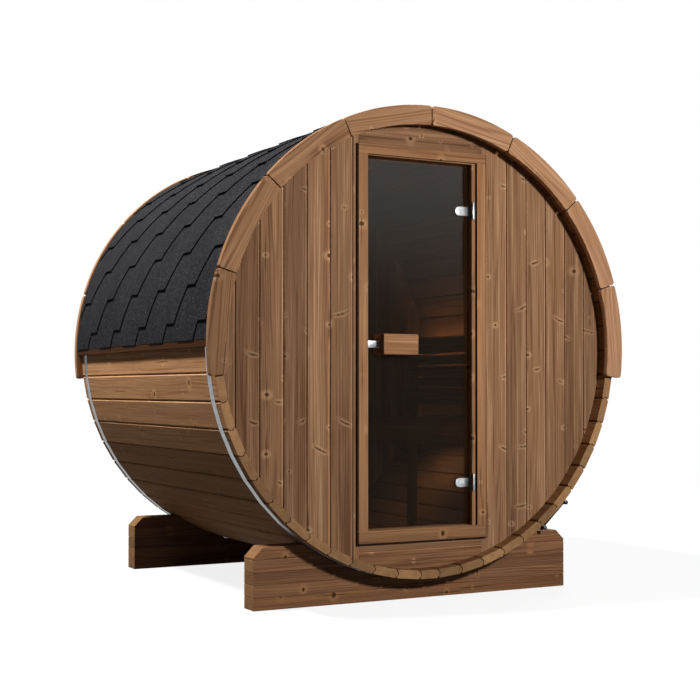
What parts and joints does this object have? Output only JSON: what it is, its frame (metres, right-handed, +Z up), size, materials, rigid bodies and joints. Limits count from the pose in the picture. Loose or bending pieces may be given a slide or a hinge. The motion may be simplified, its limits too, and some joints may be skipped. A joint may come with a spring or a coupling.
{
  "type": "barrel sauna",
  "caption": "Round timber sauna cabin of straight staves on two cradles, with steel straps, a shingled upper half and a hinged glass door.",
  "frame": {"origin": "on the ground, under the middle of the barrel's length and width", "axes": "+Z up, +Y along the barrel from the door end to the back, +X to the right seen from the door end"},
  "size_m": [2.0606, 1.807, 2.1233],
  "materials": {
    "cradle_timber": "heat-treated softwood, oiled",
    "stave_timber": "heat-treated softwood, oiled",
    "strap_steel": "galvanised",
    "fascia_timber": "heat-treated softwood, oiled",
    "roof_timber": "heat-treated softwood, oiled",
    "bitumen_shingle": "mineral-faced bitumen, matt",
    "wall_timber": "heat-treated softwood, oiled",
    "frame_timber": "heat-treated softwood, oiled",
    "black_rubber": "matt",
    "satin_steel": "satin",
    "bronze_glass": "bronze-tinted, polished",
    "handle_timber": "heat-treated softwood, oiled",
    "bench_timber": "heat-treated softwood, sanded",
    "light_strip": "translucent"
  },
  "bodies": {
    "cabin": {"cradle_front": "cradle_timber", "cradle_back": "cradle_timber", "staves_lower_right": "stave_timber", "staves_right": "stave_timber", "staves_upper_right": "stave_timber", "staves_upper_left": "stave_timber", "staves_left": "stave_timber", "staves_lower_left": "stave_timber", "strap_front": "strap_steel", "strap_back": "strap_steel", "tensioner_front": "strap_steel", "tensioner_back": "strap_steel", "front_fascia": "fascia_timber", "back_fascia": "fascia_timber", "roof_boards": "roof_timber", "eave_battens": "roof_timber", "shingles_right": "bitumen_shingle", "shingles_left": "bitumen_shingle", "ridge_cap": "bitumen_shingle", "front_wall_left": "wall_timber", "front_wall_right": "wall_timber", "door_posts": "wall_timber", "header_boards": "wall_timber", "sill_boards": "wall_timber", "back_wall": "wall_timber", "casing_sides": "frame_timber", "casing_head_board": "frame_timber", "casing_sill_board": "frame_timber", "door_lining": "frame_timber", "door_stops": "frame_timber", "door_seal": "black_rubber", "casing_gasket": "black_rubber", "hinge_plates": "satin_steel", "bench_seat": "bench_timber", "bench_apron": "bench_timber", "bench_frame": "bench_timber", "backrest_slats": "bench_timber", "backrest_battens": "bench_timber", "backrest_light": "light_strip"},
    "door": {"door_glass": "bronze_glass", "hinge_clamps": "satin_steel", "handle_outside": "handle_timber", "handle_inside": "handle_timber", "handle_standoffs": "satin_steel", "door_catch": "satin_steel"}
  },
  "joints": [
    {"name": "door_hinge", "type": "hinge", "parent": "cabin", "child": "door", "pos_m": [0.2655, -0.7895, 1.093], "axis": [0, 0, 1], "range_deg": [0, 90]}
  ]
}
